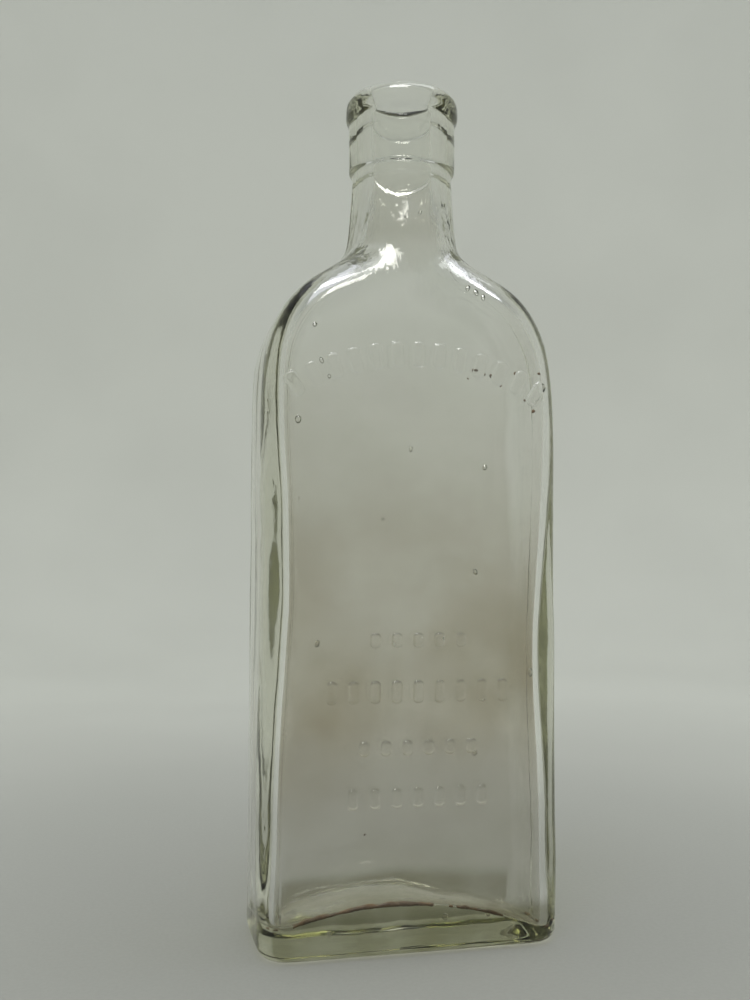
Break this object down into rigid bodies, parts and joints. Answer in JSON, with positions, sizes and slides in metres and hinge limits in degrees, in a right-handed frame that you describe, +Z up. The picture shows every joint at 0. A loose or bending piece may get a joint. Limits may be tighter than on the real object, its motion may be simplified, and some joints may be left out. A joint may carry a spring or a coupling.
{
  "type": "medicine bottle",
  "caption": "Flat rectangular clear glass medicine bottle with arched shoulders, a round cork neck with a rounded bead, and plain raised marks on the front.",
  "frame": {"origin": "centre of the underside, on the surface that the bottle stands on", "axes": "+Z up along the neck, -Y towards the front with the raised marks, +X to the right seen from the front"},
  "size_m": [0.0734, 0.0338, 0.21],
  "materials": {
    "clear_glass": "gloss",
    "dried_syrup": "matte"
  },
  "bodies": {
    "root": {"glass_bottle": "clear_glass", "dried_residue": "dried_syrup"}
  },
  "joints": []
}
